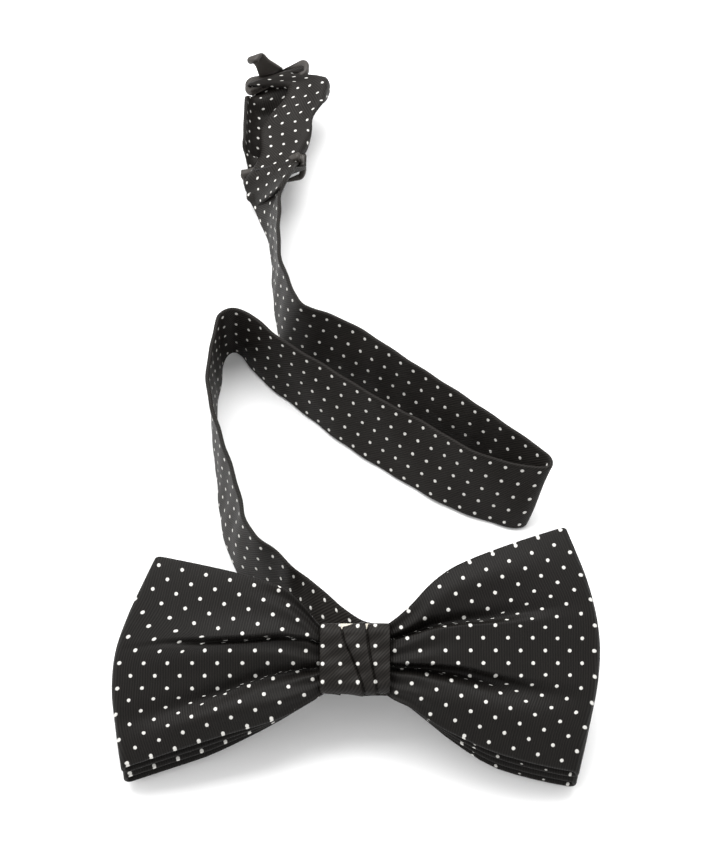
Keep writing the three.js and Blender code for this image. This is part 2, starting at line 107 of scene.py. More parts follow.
def piece(name, rings, uv=None, material=None, body="bow_and_band", ends=True, closed=False):
    """Closed body through rings of points: rings[r, k], where k runs round the section.

    The rings join one to the next in quads; the first and last are capped, or joined if closed.
    uv[r, k] has one more column than the rings, so that the pattern meets itself at the seam.
    """
    count, around = rings.shape[:2]
    r = np.arange(count if closed else count - 1)[:, None]
    k = np.arange(around)[None, :]
    r2, k2 = (r + 1) % count, (k + 1) % around
    corners = [(r, k), (r2, k), (r2, k2), (r, k2)]
    quads = np.stack([np.broadcast_to(a * around + b, (len(r), around)) for a, b in corners], axis=-1)
    quads = quads.reshape(-1, 4)
    faces = quads.tolist()
    if ends and not closed:
        faces += [list(range(around)), list(range((count - 1) * around, count * around))[::-1]]
    mesh = bpy.data.meshes.new(name)
    mesh.from_pydata((rings.reshape(-1, 3) / 1000).tolist(), [], faces)
    if uv is not None:
        columns = [(r, k), (r + 1, k), (r + 1, k + 1), (r, k + 1)]
        if closed:
            uv = np.concatenate([uv, uv[:1]], axis=0)
        flat = np.stack([uv[np.broadcast_to(a, (len(r), around)), np.broadcast_to(b, (len(r), around))]
                         for a, b in columns], axis=2).reshape(-1, 2)
        if ends and not closed:
            flat = np.concatenate([flat, uv[0, :-1], uv[-1, :-1][::-1]])
        layer = mesh.uv_layers.new(name="cloth")
        layer.data.foreach_set("uv", flat.astype(np.float32).ravel())
    mesh.polygons.foreach_set("use_smooth", [True] * len(mesh.polygons))
    mesh.update()
    made = bpy.data.objects.new(name, mesh)
    bpy.context.scene.collection.objects.link(made)
    if material:
        mesh.materials.append(material)
    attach(made, body)
    return made


def facing(sheet):
    """Unit normals of a surface sheet[r, c]."""
    return unit(np.cross(np.gradient(sheet, axis=0), np.gradient(sheet, axis=1)))


def cloth_body(name, sheet, cloth, thick, material, normal=None, turns=5):
    """Folded strip round a middle surface sheet[r, c]: both faces half a thickness away along the normal,
    and a half-round edge along each side. cloth[r, c] is the place in the cloth."""
    normal = facing(sheet) if normal is None else normal
    h = thick / 2
    angle = np.linspace(0, math.pi, turns + 2)[1:-1]
    sine, cosine = h * np.sin(angle)[None, :, None], h * np.cos(angle)[None, :, None]
    first, last = unit(sheet[:, 0] - sheet[:, 1])[:, None], unit(sheet[:, -1] - sheet[:, -2])[:, None]
    rings = np.concatenate([
        sheet + normal * h,
        sheet[:, -1:] + last * sine + normal[:, -1:] * cosine,
        (sheet - normal * h)[:, ::-1],
        sheet[:, :1] + first * sine - normal[:, :1] * cosine,
    ], axis=1)
    arc = h * angle[None, :, None]
    over = np.array([0.0, 1.0])
    right, left = cloth[:, -1:], cloth[:, :1]
    far = right + over * (h * math.pi)
    uv = np.concatenate([
        cloth,
        right + over * arc,
        far + (right - cloth[:, ::-1]) * np.array([-1.0, 1.0]),
        left - over * (h * math.pi - arc),
        left,
    ], axis=1)
    return piece(name, rings, uv, material)


def rod(name, path, half, material, body, closed=False, across=(1, 0, 0), sides=16, power=2.0):
    """A bar along a path. Its section is a rounded oblong |a/A|^power + |b/B|^power = 1."""
    path = np.asarray(path, float)
    if closed:
        heading = unit(np.roll(path, -1, axis=0) - np.roll(path, 1, axis=0))
    else:
        heading = unit(np.gradient(path, axis=0))
    side = unit(np.asarray(across, float) - heading * (heading @ np.asarray(across, float))[:, None])
    up = np.cross(heading, side)
    a = np.arange(sides) / sides * 2 * math.pi
    ca, sa = np.cos(a), np.sin(a)
    ea = np.sign(ca) * np.abs(ca) ** (2 / power)
    eb = np.sign(sa) * np.abs(sa) ** (2 / power)
    half = np.broadcast_to(np.asarray(half, float), (len(path), 2))
    rings = (path[:, None] + side[:, None] * (half[:, :1] * ea)[..., None]
             + up[:, None] * (half[:, 1:] * eb)[..., None])
    rings = rings[:, ::-1]
    length = np.concatenate([[0], np.cumsum(np.linalg.norm(np.diff(path, axis=0), axis=1))])
    turn = np.linspace(0, 1, sides + 1) * 2 * math.pi * half.mean()
    uv = np.stack(np.broadcast_arrays(length[:, None], turn[None, :]), axis=-1)
    return piece(name, rings, uv, material, body, closed=closed)


# ---------------------------------------------------------------- shader recipes
class Wire:
    """A socket in a recipe. Sums written with it add Math nodes."""

    def __init__(self, recipe, socket):
        self.recipe, self.socket = recipe, socket

    def _with(self, operation, first, second):
        return self.recipe.node("ShaderNodeMath", {"operation": operation}, {0: first, 1: second})

    def __add__(self, other):
        return self._with("ADD", self, other)

    __radd__ = __add__

    def __mul__(self, other):
        return self._with("MULTIPLY", self, other)

    __rmul__ = __mul__

    def __sub__(self, other):
        return self._with("SUBTRACT", self, other)

    def __rsub__(self, other):
        return self._with("SUBTRACT", other, self)

    def __truediv__(self, other):
        return self._with("DIVIDE", self, other)

    def __rtruediv__(self, other):
        return self._with("DIVIDE", other, self)

    def lower(self, other):
        return self._with("MINIMUM", self, other)


class Recipe:
    """A material's nodes. node() makes any of them: its settings first, then its sockets."""

    def __init__(self, name):
        self.material = bpy.data.materials.new(name)
        self.material.use_nodes = True
        self.tree = self.material.node_tree
        self.tree.nodes.clear()

    def node(self, kind, settings=None, inputs=None, output=0):
        made = self.tree.nodes.new(kind)
        for key, value in (settings or {}).items():
            setattr(made, key, value)
        for key, value in (inputs or {}).items():
            socket = made.inputs[key]
            if isinstance(value, Wire):
                self.tree.links.new(value.socket, socket)
            else:
                socket.default_value = value
        return Wire(self, made.outputs[output])

    def axes(self, vector):
        """The three numbers of a vector."""
        split = self.node("ShaderNodeSeparateXYZ", {}, {0: vector})
        return [Wire(self, output) for output in split.socket.node.outputs]

    def sine(self, x):
        return self.node("ShaderNodeMath", {"operation": "SINE"}, {0: x})

    def fraction(self, x):
        return self.node("ShaderNodeMath", {"operation": "FRACT"}, {0: x})

    def step(self, x, low, high):
        """0 below low, 1 above high, smooth between; low may be above high."""
        return self.node("ShaderNodeMapRange", {"interpolation_type": "SMOOTHSTEP"},
                         {"Value": x, "From Min": low, "From Max": high})

    def noise(self, vector, scale, detail=2.0, rough=0.5):
        return self.node("ShaderNodeTexNoise", {}, {"Vector": vector, "Scale": scale, "Detail": detail,
                                                    "Roughness": rough})

    def mix(self, factor, first, second):
        return self.node("ShaderNodeMix", {"data_type": "RGBA"}, {0: factor, 6: first, 7: second}, 2)

    def finish(self, **sockets):
        names = {key.replace("_", " "): value for key, value in sockets.items()}
        shader = self.node("ShaderNodeBsdfPrincipled", {}, names)
        out = self.tree.nodes.new("ShaderNodeOutputMaterial")
        self.tree.links.new(shader.socket, out.inputs["Surface"])
        return self.material


def rgb(r, g, b):
    return (r, g, b, 1.0)


def dotted_faille(name, turned, tone):
    """Black ribbed cloth with woven white dots, drawn on the cloth's own millimetres. turned is the
    angle of the cut: 0 on the straight grain, 45 degrees on the bias. tone lightens the black."""
    m = Recipe(name)
    place = m.node("ShaderNodeUVMap", {"uv_map": "cloth"})
    place = m.node("ShaderNodeVectorRotate", {"rotation_type": "Z_AXIS"}, {"Vector": place, "Angle": turned})
    u, w, _ = m.axes(place)

    # Distance to the nearest dot of the corner lattice and of the middle lattice.
    def nearest(shift):
        a = (m.fraction(u / DOT_REPEAT + shift) - 0.5) * DOT_REPEAT
        b = (m.fraction(w / DOT_REPEAT + shift) - 0.5) * DOT_REPEAT
        return m.node("ShaderNodeMath", {"operation": "SQRT"}, {0: a * a + b * b})

    wobble = m.noise(place, 2.3, 2.0)
    distance = nearest(0.25).lower(nearest(0.75)) + (wobble - 0.5) * 0.16
    dot = m.step(distance, DOT_RADIUS + 0.09, DOT_RADIUS - 0.09)

    slub = m.noise(m.node("ShaderNodeMapping", {}, {"Vector": place, "Scale": (1.4, 0.12, 1)}), 1.0, 2.0)
    rib = m.sine((u + (slub - 0.5) * 0.22) * (2 * math.pi / RIB_PITCH)) * 0.5 + 0.5
    cross = m.sine(w * (2 * math.pi / 0.23)) * 0.5 + 0.5
    patch = m.noise(place, 0.11, 3.0)
    grain = m.noise(place, 5.0, 2.0)

    # The two darker shades are the black cloth, varied in patches; the two paler ones are a painted
    # highlight that each rib's crest is coloured towards, a sheen painted into the colour.
    shades = [rgb(*(tone * np.array(shade))) for shade in (
        (0.0018, 0.0014, 0.0011), (0.0030, 0.0025, 0.0021),
        (0.0082, 0.0069, 0.0057), (0.0118, 0.0101, 0.0086))]
    dark, light = m.mix(patch, *shades[:2]), m.mix(patch, *shades[2:])
    # Painted sheen: the ground between the dots is paler along each rib's crest.
    ground = m.mix(rib * 0.75 + grain * 0.25 - 0.1, dark, light)
    white = m.mix(cross * 0.6 + grain * 0.3, rgb(0.50, 0.49, 0.46), rgb(0.78, 0.77, 0.74))
    colour = m.mix(dot, ground, white)
    height = rib * 0.6 + cross * 0.12 + grain * 0.25 + dot * 0.55
    bump = m.node("ShaderNodeBump", {}, {"Height": height, "Strength": 0.42, "Distance": 0.00022})
    rough = 0.52 + grain * 0.16 - rib * 0.06 + dot * 0.14
    return m.finish(Base_Color=colour, Roughness=rough, Normal=bump, Specular_IOR_Level=0.16)


def plain_weave(name, dark, light, pitch):
    """Plain woven cloth on Object coordinates: two thread directions over each other."""
    m = Recipe(name)
    coords = m.node("ShaderNodeTexCoord", {}, {}, 3)
    x, y, z = m.axes(coords)
    k = 2 * math.pi / pitch
    weave = m.sine((x + z * 0.3) * k) * m.sine((y + z * 0.4) * k) * 0.5 + 0.5
    grain = m.noise(coords, 2200.0, 2.0)
    colour = m.mix(weave * 0.7 + grain * 0.3, dark, light)
    bump = m.node("ShaderNodeBump", {}, {"Height": weave + grain * 0.4, "Strength": 0.4, "Distance": 0.0002})
    return m.finish(Base_Color=colour, Roughness=0.85 + grain * 0.1, Normal=bump)


def twisted_thread(name, dark, light):
    """Sewing thread or cord: slanting plies round its length, on the piece's own millimetres."""
    m = Recipe(name)
    place = m.node("ShaderNodeUVMap", {"uv_map": "cloth"})
    u, w, _ = m.axes(place)
    ply = m.sine((u + w) * (2 * math.pi / 0.8)) * 0.5 + 0.5
    fuzz = m.noise(place, 9.0, 3.0)
    colour = m.mix(ply * 0.7 + fuzz * 0.3, dark, light)
    bump = m.node("ShaderNodeBump", {}, {"Height": ply + fuzz * 0.5, "Strength": 0.6, "Distance": 0.0002})
    return m.finish(Base_Color=colour, Roughness=0.7 + fuzz * 0.2, Normal=bump)


def dark_enamel(name):
    """Smooth dark coated metal: a little orange peel, and paler where handling has rubbed it."""
    m = Recipe(name)
    coords = m.node("ShaderNodeTexCoord", {}, {}, 3)
    peel = m.noise(coords, 700.0, 3.0)
    cloud = m.noise(coords, 90.0, 3.0)
    worn = m.step(m.noise(coords, 260.0, 4.0, 0.65), 0.6, 0.72)
    colour = m.mix(cloud, rgb(0.026, 0.022, 0.019), rgb(0.044, 0.039, 0.034))
    colour = m.mix(worn * 0.35, colour, rgb(0.085, 0.078, 0.07))
    bump = m.node("ShaderNodeBump", {}, {"Height": peel, "Strength": 0.12, "Distance": 0.0002})
    return m.finish(Base_Color=colour, Roughness=0.42 + cloud * 0.14 + worn * 0.1, Normal=bump,
                    Specular_IOR_Level=0.3)


straight_cloth = dotted_faille("faille, straight grain", 0.0, 1.0)
bias_cloth = dotted_faille("faille, bias cut", math.radians(45), 1.7)
canvas_weave = plain_weave("stiffening canvas", rgb(0.42, 0.38, 0.31), rgb(0.68, 0.64, 0.56), 0.0007)
black_thread = twisted_thread("black thread", rgb(0.008, 0.008, 0.009), rgb(0.035, 0.033, 0.035))
enamel = dark_enamel("dark enamel")

# ---------------------------------------------------------------- camera
camera = bpy.data.cameras.new("camera")
camera.lens, camera.sensor_width, camera.clip_start = 63.83, 36.0, 0.01
viewer = bpy.data.objects.new("camera", camera)
viewer.location = (0.00049, -0.23607, 0.35875)
viewer.rotation_euler = (math.radians(32), 0, 0)
bpy.context.scene.collection.objects.link(viewer)
bpy.context.scene.camera = viewer


# ---------------------------------------------------------------- the wings
# Outlines of each wing, as shares of its reach beyond the gathered middle, in the bow's own plane.
RIGHT = {
    "top": [(-0.14, 6), (0, 6.8), (0.03, 7.6), (0.146, 11.8), (0.25, 16.8), (0.358, 20.6), (0.476, 23.2),
            (0.6, 25.4), (0.737, 27.6), (1, 31.5)],
    "low": [(-0.14, -6.3), (0, -7.4), (0.03, -8.8), (0.146, -11.6), (0.296, -16.2), (0.42, -19.1),
            (0.543, -21.6), (0.7, -23.9), (0.882, -25.9), (1, -26.9)],
    "outer": [(-1, 53.7), (-0.65, 56.2), (-0.2, 59), (0.02, 59.5), (0.37, 58.3), (0.57, 56.8), (0.82, 54.2),
              (1, 52.2)],
    "turn": (20, -14), "corner": ((52.2, 31.5), (53.7, -26.9), 59.5),
}
LEFT = {
    "top": [(-0.14, 5.9), (0, 6.7), (0.03, 7.2), (0.113, 11.2), (0.2, 14.8), (0.377, 18.2), (0.512, 19.8),
            (0.75, 22.1), (1, 24.3)],
    "low": [(-0.14, -6.3), (0, -7.6), (0.03, -8.9), (0.12, -11.6), (0.214, -13.9), (0.33, -15.9),
            (0.45, -17.5), (0.7, -21.2), (1, -25.9)],
    "outer": [(-1, 55.6), (-0.66, 57), (-0.193, 58.3), (0.106, 57.6), (0.43, 55), (0.771, 51.3), (1, 48.7)],
    "turn": (12, -17), "corner": ((48.7, 25), (55.6, -25.9), 58.3),
}


def right_folds(q, t):
    """Height of the folds on the right wing: a flat ridge that fans out from the knot, a deep valley on
    each side of it with a sharp lip, and a soft crown on the panels above and below."""
    upper = through([(0, 0.6), (0.13, 0.55), (0.25, 0.45), (0.4, 0.34), (0.55, 0.31), (0.7, 0.32),
                     (1, 0.32)], q)
    lower = through([(0, 0), (0.13, -0.08), (0.3, -0.17), (0.45, -0.21), (0.6, -0.27), (0.75, -0.32),
                     (1, -0.36)], q)
    ridge = through([(0, 0), (0.1, 0.2), (0.14, 0.9), (0.2, 1.5), (0.35, 1.7), (0.5, 1.4), (0.7, 0.8),
                     (0.85, 0.35), (1, 0)], q)
    upper_depth = through([(0, 0), (0.1, 0.2), (0.14, 1.2), (0.22, 2.3), (0.35, 2.4), (0.5, 1.6),
                           (0.65, 0.8), (0.85, 0.1), (1, 0)], q)
    lower_depth = through([(0, 0), (0.1, 0.2), (0.14, 1.5), (0.25, 2.9), (0.4, 3.2), (0.55, 2.3),
                           (0.7, 1.1), (0.9, 0.2), (1, 0)], q)
    lip = 0.018 + 0.05 * ease(q, 0.45, 0.9)
    flat = ease(t, lower - lip, lower + lip) * (1 - ease(t, upper - lip, upper + lip))
    valley_up = hump(t, upper + 0.05, 0.085) * np.where(t < upper + 0.05, 1 - flat, 1)
    valley_low = hump(t, lower - 0.07, 0.1) * np.where(t > lower - 0.07, 1 - flat, 1)
    crown = ease(q, 0.12, 0.35) * (1 - ease(q, 0.6, 1))
    panel = 0.9 * hump(t, 0.78, 0.16) + 1.1 * hump(t, -0.62, 0.2)
    fine = 0.35 * hump(q, 0.22, 0.14) * np.cos(18 * t + 1.1) + 0.25 * hump(q, 0.9, 0.2) * np.sin(5 * t - 1)
    return ridge * flat - upper_depth * valley_up - lower_depth * valley_low + crown * panel + fine


def left_folds(q, t):
    """Height of the folds on the left wing: one sharp level crease with the cloth above it rolled
    forward, and one soft deep valley that curves down to the lower corner."""
    crease = through([(0, 0.6), (0.14, 0.55), (0.24, 0.36), (0.4, 0.22), (0.55, 0.17), (0.8, 0.15),
                      (1, 0.1)], q)
    valley = through([(0, -0.15), (0.14, -0.2), (0.24, -0.31), (0.38, -0.36), (0.56, -0.5), (0.78, -0.58),
                      (1, -0.6)], q)
    roll = through([(0, 0), (0.1, 0.2), (0.14, 1.1), (0.25, 1.7), (0.4, 2.1), (0.55, 1.9), (0.68, 1.2),
                    (0.8, 0.4), (1, 0)], q)
    depth = through([(0, 0), (0.1, 0.2), (0.14, 1.4), (0.25, 2.5), (0.4, 2.4), (0.6, 1.7), (0.8, 1),
                     (1, 0.2)], q)
    above = np.maximum(t - crease, 0)
    rolled = ease(t, crease - 0.01, crease + 0.05) * np.exp(-((above / 0.26) ** 2))
    groove = hump(t, crease - 0.012, 0.028)
    soft = hump(t, valley, 0.12)
    crown = ease(q, 0.12, 0.35) * (1 - ease(q, 0.6, 1))
    panel = 0.8 * hump(t, 0.0, 0.17) + 0.9 * hump(t, -0.75, 0.15)
    top_dip = 0.9 * hump(t, 0.88, 0.1) * hump(q, 0.3, 0.13)
    fine = 0.3 * hump(q, 0.22, 0.13) * np.cos(17 * t + 0.3) + 0.3 * hump(q, 0.86, 0.2) * np.sin(5 * t + 1.2)
    return roll * rolled - 0.55 * roll * groove - depth * soft + crown * panel - top_dip + fine


def bow_sheet(layers, drop, folded, columns, rows):
    """Middle surface of one bow: a strip wound into a flat loop and pinched by the knot.

    Along the loop a point runs out on the back layer, round the outer fold and in along the front
    layer, first on the right wing and then on the left. Across it, t goes from the lower edge, -1, to
    the upper edge, 1, and the wing's outline scales it. Returns the surface, its place in the cloth, and
    the directions it faces with its folds smoothed away.
    """
    front, back = layers
    q = np.linspace(0, 1, rows) ** 0.85
    q_back = np.linspace(0, 1, rows // 3)
    fold = np.radians(np.linspace(-75, 75, 9))
    radius = (through(front, 1.0) - through(back, 1.0)) / 2
    middle = (through(front, 1.0) + through(back, 1.0)) / 2
    inner = REACH - radius
    reach = np.concatenate([q_back * inner, inner + radius * np.cos(fold), q[::-1] * inner])
    height = np.concatenate([through(back, q_back), middle + radius * np.sin(fold), through(front, q[::-1])])
    forward = np.concatenate([np.zeros(len(q_back)), 0.5 + 0.5 * np.sin(fold), np.ones(len(q))])
    t = np.linspace(-1, 1, columns)[None, :]
    sheets, cloths, plains = [], [], []
    for side, shape, folds in ((1, RIGHT, right_folds), (-1, LEFT, left_folds)):
        share = ((reach - WING_ROOT) / (REACH - WING_ROOT))[:, None]
        level = (reach / REACH)[:, None]
        top, low = through(shape["top"], share), through(shape["low"], share)
        outer = through(shape["outer"], t)
        x = np.where(share < 0, reach[:, None] + 0 * t, WING_ROOT + share * (outer - WING_ROOT))
        v = low + (t + 1) / 2 * (top - low)
        bulge = folds(level, t) * folded
        edge = np.abs(t) ** 5 * 1.5 * ease(level, 0.1, 0.5) * folded
        n = height[:, None] + forward[:, None] * (bulge - edge)
        n = np.where(forward[:, None] > 0.6, np.maximum(n, through(back, level) + 1.35), n)
        sag = (drop[0] + (drop[1] - drop[0]) * forward[:, None]) * ease(share, 0.1, 0.65)
        sheet = from_bow(side * x, v - sag, n)
        plain = from_bow(side * x, v - sag, height[:, None] + 0 * t)

        # Cloth coordinates: three panels, each turned with its own edge, that meet along the folds.
        (cx, cv), (dx, dv), mx = shape["corner"]
        angles = np.radians(shape["turn"])
        panels = []
        for (ox, ov), angle in (((cx, cv), angles[0]), ((dx, dv), angles[1])):
            along_edge = (ox - x) * math.cos(angle) + (ov - v) * math.sin(angle)
            across_edge = ov - (ov - v) * math.cos(angle) + (ox - x) * math.sin(angle)
            panels.append((along_edge, across_edge))
        centre = (mx - x, v)
        if side > 0:
            up = through([(0, 0.6), (0.13, 0.55), (0.25, 0.45), (0.4, 0.34), (0.7, 0.32),
                          (1, 0.32)], level) + 0.03
            down = through([(0, -0.05), (0.13, -0.12), (0.3, -0.24), (0.6, -0.33), (1, -0.4)], level) - 0.03
        else:
            up = through([(0, 0.6), (0.14, 0.55), (0.24, 0.36), (0.4, 0.22), (0.8, 0.17), (1, 0.3)], level)
            down = through([(0, -0.15), (0.14, -0.2), (0.38, -0.36), (0.56, -0.5), (1, -0.6)], level)
        spread = 0.02 + 0.42 * ease(level, 0.5, 1)
        top_share = ease(t, up - spread, up + spread)
        low_share = 1 - ease(t, down - spread, down + spread)
        mid_share = 1 - top_share - low_share
        across_cloth = top_share * panels[0][1] + mid_share * centre[1] + low_share * panels[1][1]
        along_cloth = top_share * panels[0][0] + mid_share * centre[0] + low_share * panels[1][0]
        along_cloth = np.where(forward[:, None] >= 0.5, along_cloth, -along_cloth)
        cloth = np.stack([along_cloth * side, across_cloth], axis=-1)
        if side < 0:
            sheet, cloth, plain = sheet[::-1], cloth[::-1], plain[::-1]
        sheets.append(sheet[:-1] if side > 0 else sheet)
        cloths.append(cloth[:-1] if side > 0 else cloth)
        plains.append(plain[:-1] if side > 0 else plain)
    sheet, cloth, plain = (np.concatenate(rows)[:, ::-1] for rows in (sheets, cloths, plains))
    return sheet, cloth, facing(plain)


FRONT_LAYERS = ([(0, 3.0), (0.1, 3.1), (0.14, 3.7), (0.25, 5.6), (0.4, 6.9), (0.6, 7.2), (0.8, 6.6),
                 (1, 4.9)],
                [(0, 1.0), (0.4, 1.15), (1, 1.3)])
BACK_LAYERS = ([(0, -1.0), (0.4, -1.1), (1, -1.0)], [(0, -3.0), (0.4, -3.9), (1, -3.9)])


def make_bow(name, layers, drop, folded, columns, rows, cad_cloth, cad_canvas):
    """One bow: its folded cloth, and the canvas inside it on the same middle surface."""
    sheet, cloth, normal = bow_sheet(layers, drop, folded, columns, rows)
    bow = cloth_body(name, sheet, cloth, PLY, straight_cloth, normal)
    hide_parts(cad_cloth)
    inside, direction = sheet[:, 4:-4], normal[:, 4:-4]
    lining = cloth_body(name + "_canvas", inside, 0 * inside[..., :2], CANVAS_PLY, canvas_weave,
                        direction, turns=2)
    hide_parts(cad_canvas)


make_bow("front_bow", FRONT_LAYERS, (1.3, 0.0), 1.0, 181, 64, "front_bow_cloth", "front_bow_canvas")
make_bow("second_bow", BACK_LAYERS, (3.9, 2.6), 0.12, 61, 40, "back_bow_cloth", "back_bow_canvas")


# ---------------------------------------------------------------- the knot
def oblong(half_high, half_deep, corner, count):
    """Points round a rounded oblong in (v, n), evenly spaced from its top, with the direction out of it
    and the distance along it: a corner's circle, carried out to the four sides."""
    a = np.linspace(0, 2 * math.pi, 2000, endpoint=False)
    c, s = np.cos(a), np.sin(a)
    straight = np.array([half_high - corner, half_deep - corner])
    v = np.sign(c) * straight[0] * ease(np.abs(c), 0.0, 0.35) + corner * c
    n = np.sign(s) * straight[1] * ease(np.abs(s), 0.0, 0.35) + corner * s
    loop = np.stack([v, n], axis=1)
    step = np.linalg.norm(np.diff(loop, axis=0, append=loop[:1]), axis=1)
    total = step.sum()
    at = np.concatenate([[0], np.cumsum(step)])
    wanted = np.arange(count) / count * total
    closed_loop = np.concatenate([loop, loop[:1]])
    points = np.stack([np.interp(wanted, at, closed_loop[:, i]) for i in (0, 1)], axis=1)
    heading = np.roll(points, -1, axis=0) - np.roll(points, 1, axis=0)
    out = unit(np.stack([heading[:, 1], -heading[:, 0]], axis=1))
    return points, out, wanted


def knot_wrap():
    """Cloth wound round the middle in slanting pleats. Each pleat swells towards its free edge and
    drops sharply to the next: a saw-tooth of the distance to two slanting lines."""
    ring, out, arc = oblong(7.75, 5.7, 2.6, 260)
    v, front = ring[:, :1], np.sign(ring[:, 1:2] + 0.01)
    first = through([(-10, 3.2), (-6.7, 2), (0.7, -1), (4.5, -2.7), (8.2, -3.3), (10, -3.4)], v * front)
    second = through([(-10, 6.2), (-8.5, 5.7), (-1.2, 4), (3.7, 3.2), (7.3, 2.8), (10, 2.7)], v * front)
    x = np.linspace(KNOT_LEFT, KNOT_RIGHT, 120)[None, :]
    lip = 0.16
    swell = (0.45 + 0.85 * ((x - KNOT_LEFT) / (first - KNOT_LEFT)).clip(0, 1) ** 1.5
             * (1 - ease(x, first - lip, first + lip)))
    swell = swell + (ease(x, first - lip, first + lip)
                     * (0.05 + 0.75 * ((x - first) / (second - first)).clip(0, 1) ** 1.5)
                     * (1 - ease(x, second - lip, second + lip)))
    swell = swell + 0.3 * ease(x, second, second + 2)
    groove = hump(x, first + 0.22, 0.22) + hump(x, second + 0.22, 0.22)
    round_end = np.sqrt(np.clip(1 - ((np.abs(x - 0.4) - 7.9).clip(0) / 0.85) ** 2, 0, 1))
    waves = 0.22 * np.sin(v * 0.75 + x * 0.5) + 0.12 * np.sin(v * 1.9 - x * 0.8)
    deep = 0.45 + 0.55 * ease(np.abs(ring[:, 1:2]), 3, 5)
    thick = ((0.4 + (swell - 0.45 * groove + waves) * deep).clip(0.25)) * (0.35 + 0.65 * round_end)
    outer = ring[:, None] + out[:, None] * thick[..., None]
    inner_x = np.linspace(KNOT_RIGHT - 0.2, KNOT_LEFT + 0.2, 14)
    inner = np.broadcast_to(ring[:, None] - out[:, None] * 0.25, (len(ring), 14, 2))
    xs = np.concatenate([np.broadcast_to(x, outer.shape[:2]),
                         np.broadcast_to(inner_x, inner.shape[:2])], axis=1)
    vn = np.concatenate([outer, inner], axis=1)
    rings = from_bow(xs, vn[..., 0] - 0.4, vn[..., 1])
    uv = np.stack(np.broadcast_arrays(xs + 1.2, -arc[:, None] + 0.8), axis=-1)
    uv = np.concatenate([uv, uv[:, :1]], axis=1)
    made = piece("knot", rings, uv, bias_cloth, closed=True)
    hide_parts("knot_wrap")


knot_wrap()
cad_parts["knot_lining"].data.materials.clear()
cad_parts["knot_lining"].data.materials.append(canvas_weave)


def turns_of_thread(name, loops, ring_size, x0, pitch, radius):
    """Thread wound in a helix round the gathered middle."""
    a = np.linspace(0, 2 * math.pi * loops, 60 * loops)
    points, _, _ = oblong(*ring_size, 240)
    i = (a / (2 * math.pi) % 1) * 240
    v = np.interp(i, np.arange(241), np.append(points[:, 0], points[0, 0]))
    n = np.interp(i, np.arange(241), np.append(points[:, 1], points[0, 1]))
    path = from_bow(x0 + pitch * a / (2 * math.pi), v, n)
    return rod(name, path, (radius, radius), black_thread, "bow_and_band", across=(1, 0, 0), sides=8)


wound = turns_of_thread("gathering_stitches", 5, (7.1, 4.45, 1.4), -0.8, 0.6, 0.28)
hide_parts("gathering_thread")

# ---------------------------------------------------------------- the neck strap
# Lower edge x, y, z from the knot's middle on the table, then the lean of the strap along x and y as
# shares of its width.
ROUTE = np.array([
    (-20, 16.6, 0, 0.189, 0.421),
    (-24.6, 23, 0, 0.205, 0.305), (-29.2, 28.8, 0, 0.2, 0.168), (-32.6, 35, 0, 0.226, 0.084),
    (-34.7, 42.5, 0, 0.263, 0.042), (-36, 50, 0, 0.237, 0.032), (-37.4, 58.5, 0, 0.147, 0.021),
    (-38.4, 67, 0, 0.053, 0.011), (-39, 76, 0, -0.011, 0), (-39.2, 85.5, 0, -0.032, 0),
    (-38.6, 93.5, 0, -0.026, 0), (-38.3, 97.6, 0, -0.021, 0.005), (-37.3, 100.8, 0, -0.011, 0.021),
    (-35, 102.2, 0, 0.032, 0.047), (-32.4, 100.6, 0, 0.084, 0.084), (-29.6, 97, 0, 0.126, 0.126),
    (-25.2, 91.8, 0, 0.163, 0.158), (-19, 85.9, 0, 0.189, 0.2), (-13, 80.2, 0, 0.226, 0.247),
    (-6.9, 74.8, 0, 0.247, 0.289), (-0.6, 69.7, 0, 0.268, 0.332), (5.6, 64.8, 0, 0.279, 0.368),
    (11.8, 60.3, 0, 0.284, 0.4), (18.2, 56.1, 0, 0.258, 0.405), (24.5, 52.2, 0, 0.226, 0.4),
    (31.1, 48.8, 0, 0.2, 0.4), (38, 46.1, 0, 0.2, 0.421), (43, 44.8, 0, 0.253, 0.442),
    (46, 45.4, 0, 0.284, 0.442), (46.3, 48.2, 0, 0.284, 0.421), (43.6, 52, 0, 0.274, 0.368),
    (39.2, 56.4, 0, 0.274, 0.326), (33.2, 61.9, 0, 0.279, 0.316), (26.2, 67.6, 0, 0.279, 0.316),
    (18.7, 73.4, 0, 0.279, 0.316), (12.7, 78.4, 0, 0.279, 0.316), (6.7, 83.3, 0, 0.279, 0.316),
    (1, 87.8, 0, 0.274, 0.316), (-5.3, 92.6, 0, 0.263, 0.311), (-11.5, 96.8, 0, 0.258, 0.279),
    (-16.6, 100.4, 0, 0.284, 0.189), (-20.4, 104.2, 0, 0.279, 0.089), (-22.2, 109, 0, 0.258, 0.026),
    (-22.9, 114, 0, 0.2, 0.011), (-23.4, 119.7, 0, 0.126, 0), (-23.8, 126, 0, 0.116, 0),
    (-24.3, 132, 0, 0.13, 0), (-25.2, 139, 0, 0.16, 0), (-27, 146, 0.6, 0.26, 0),
    (-29.2, 151.5, 1.8, 0.47, 0), (-31.4, 156, 3, 0.69, 0)])
BEHIND = np.array([
    (9, -8.7, 9, 8, -8.25), (5, -8.7, 5, 8.1, -8.25), (1.4, -8.6, 1.6, 9.1, -8.3),
    (-3.4, -6.6, -3, 12.2, -8.4), (-8.8, -3.1, -7.1, 15.8, -8.5), (-13, 0.4, -10.6, 18.6, -8.6),
    (-16.9, 4.6, -13.8, 20.9, -8.8)])     # lower edge x, v and upper edge x, v, n in the bow's frame


